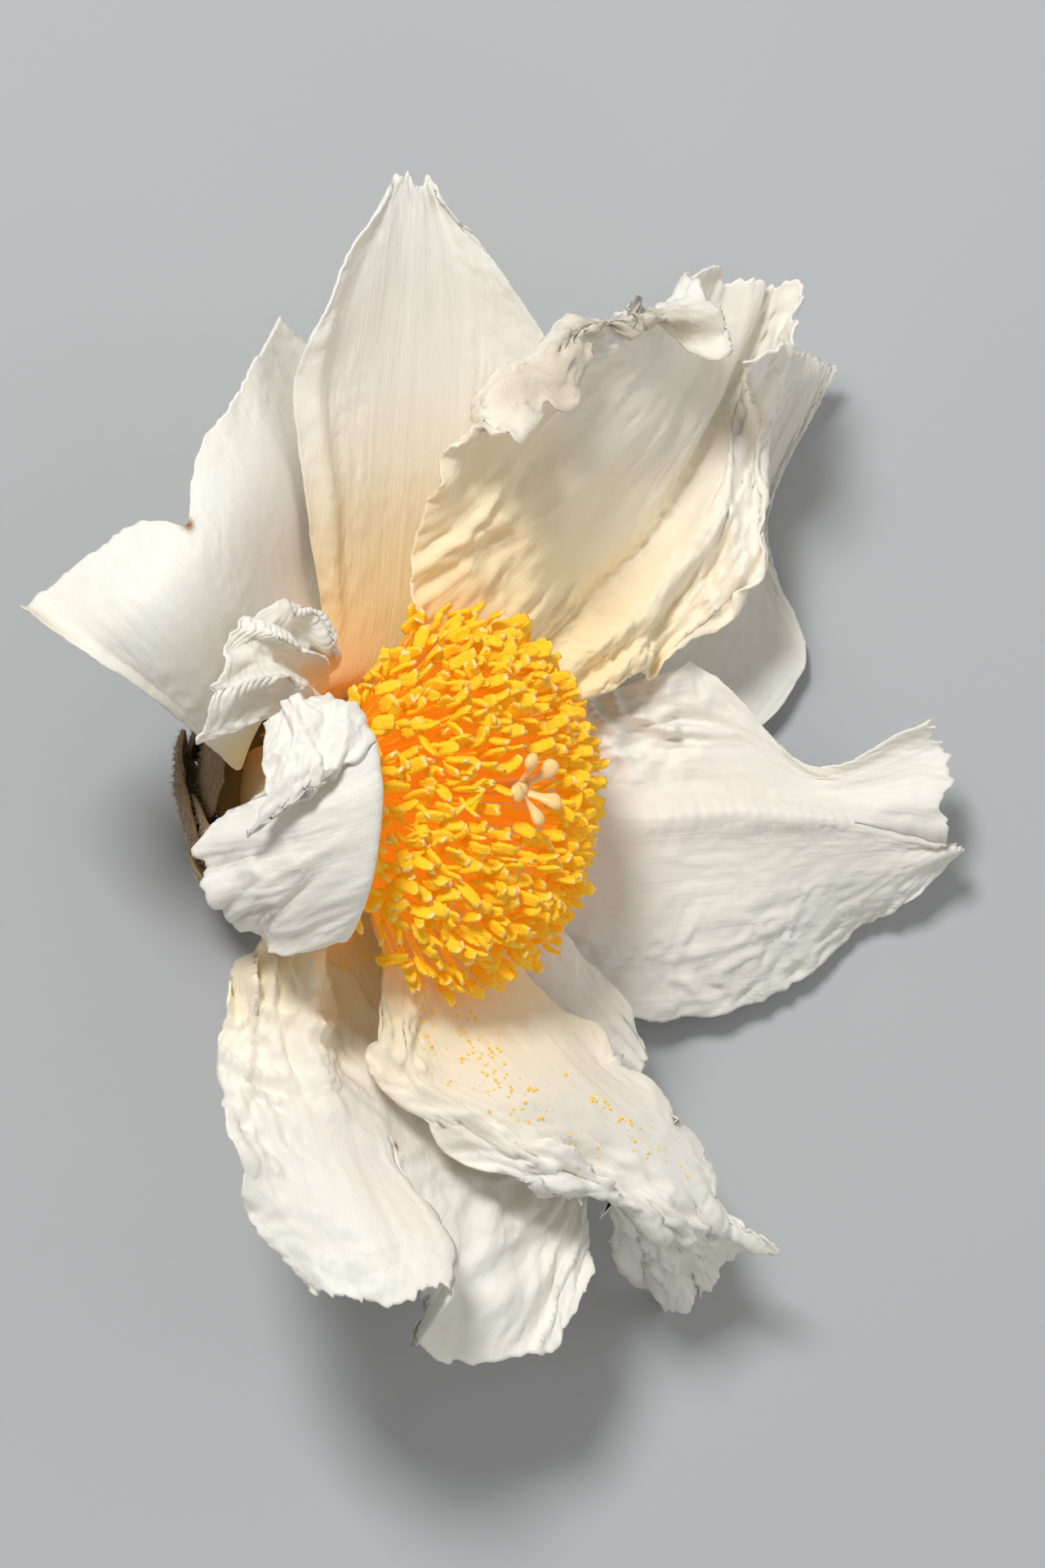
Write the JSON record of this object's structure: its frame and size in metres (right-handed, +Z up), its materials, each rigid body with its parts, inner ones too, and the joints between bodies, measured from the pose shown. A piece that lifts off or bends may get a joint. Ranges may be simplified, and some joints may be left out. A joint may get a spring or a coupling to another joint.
{
  "type": "camellia flower",
  "caption": "Open single camellia blossom lying on its back, with ruffled white petals round a brush of orange stamens and a woolly calyx.",
  "frame": {"origin": "on the surface that the flower rests on, under the middle of its box", "axes": "+Z up from that surface, towards the open side of the flower; +Y along the flower's longest extent"},
  "size_m": [0.1158, 0.1296, 0.0563],
  "materials": {
    "petal_white": "thin white petal, soft sheen, cream towards its foot",
    "stamen_orange": "smooth orange filaments with powdery yellow anthers",
    "stigma_cream": "moist cream stigma",
    "stalk_green": "green stalk, fresh cut",
    "calyx_brown": "scales under grey-brown woolly hair"
  },
  "bodies": {
    "root": {"petal_top": "petal_white", "petal_upper_right": "petal_white", "petal_upper_right_back": "petal_white", "petal_right": "petal_white", "petal_lower_right": "petal_white", "petal_lower_right_back": "petal_white", "petal_bottom": "petal_white", "petal_near_left": "petal_white", "petal_near_left_upper": "petal_white", "petal_upper_left": "petal_white", "stamens": "stamen_orange", "pistil": "stigma_cream", "receptacle": "stalk_green", "sepal_1": "calyx_brown", "sepal_2": "calyx_brown", "sepal_3": "calyx_brown", "sepal_4": "calyx_brown", "sepal_5": "calyx_brown", "bract_1": "calyx_brown", "bract_2": "calyx_brown", "bract_3": "calyx_brown", "bract_4": "calyx_brown", "bract_5": "calyx_brown"}
  },
  "joints": []
}
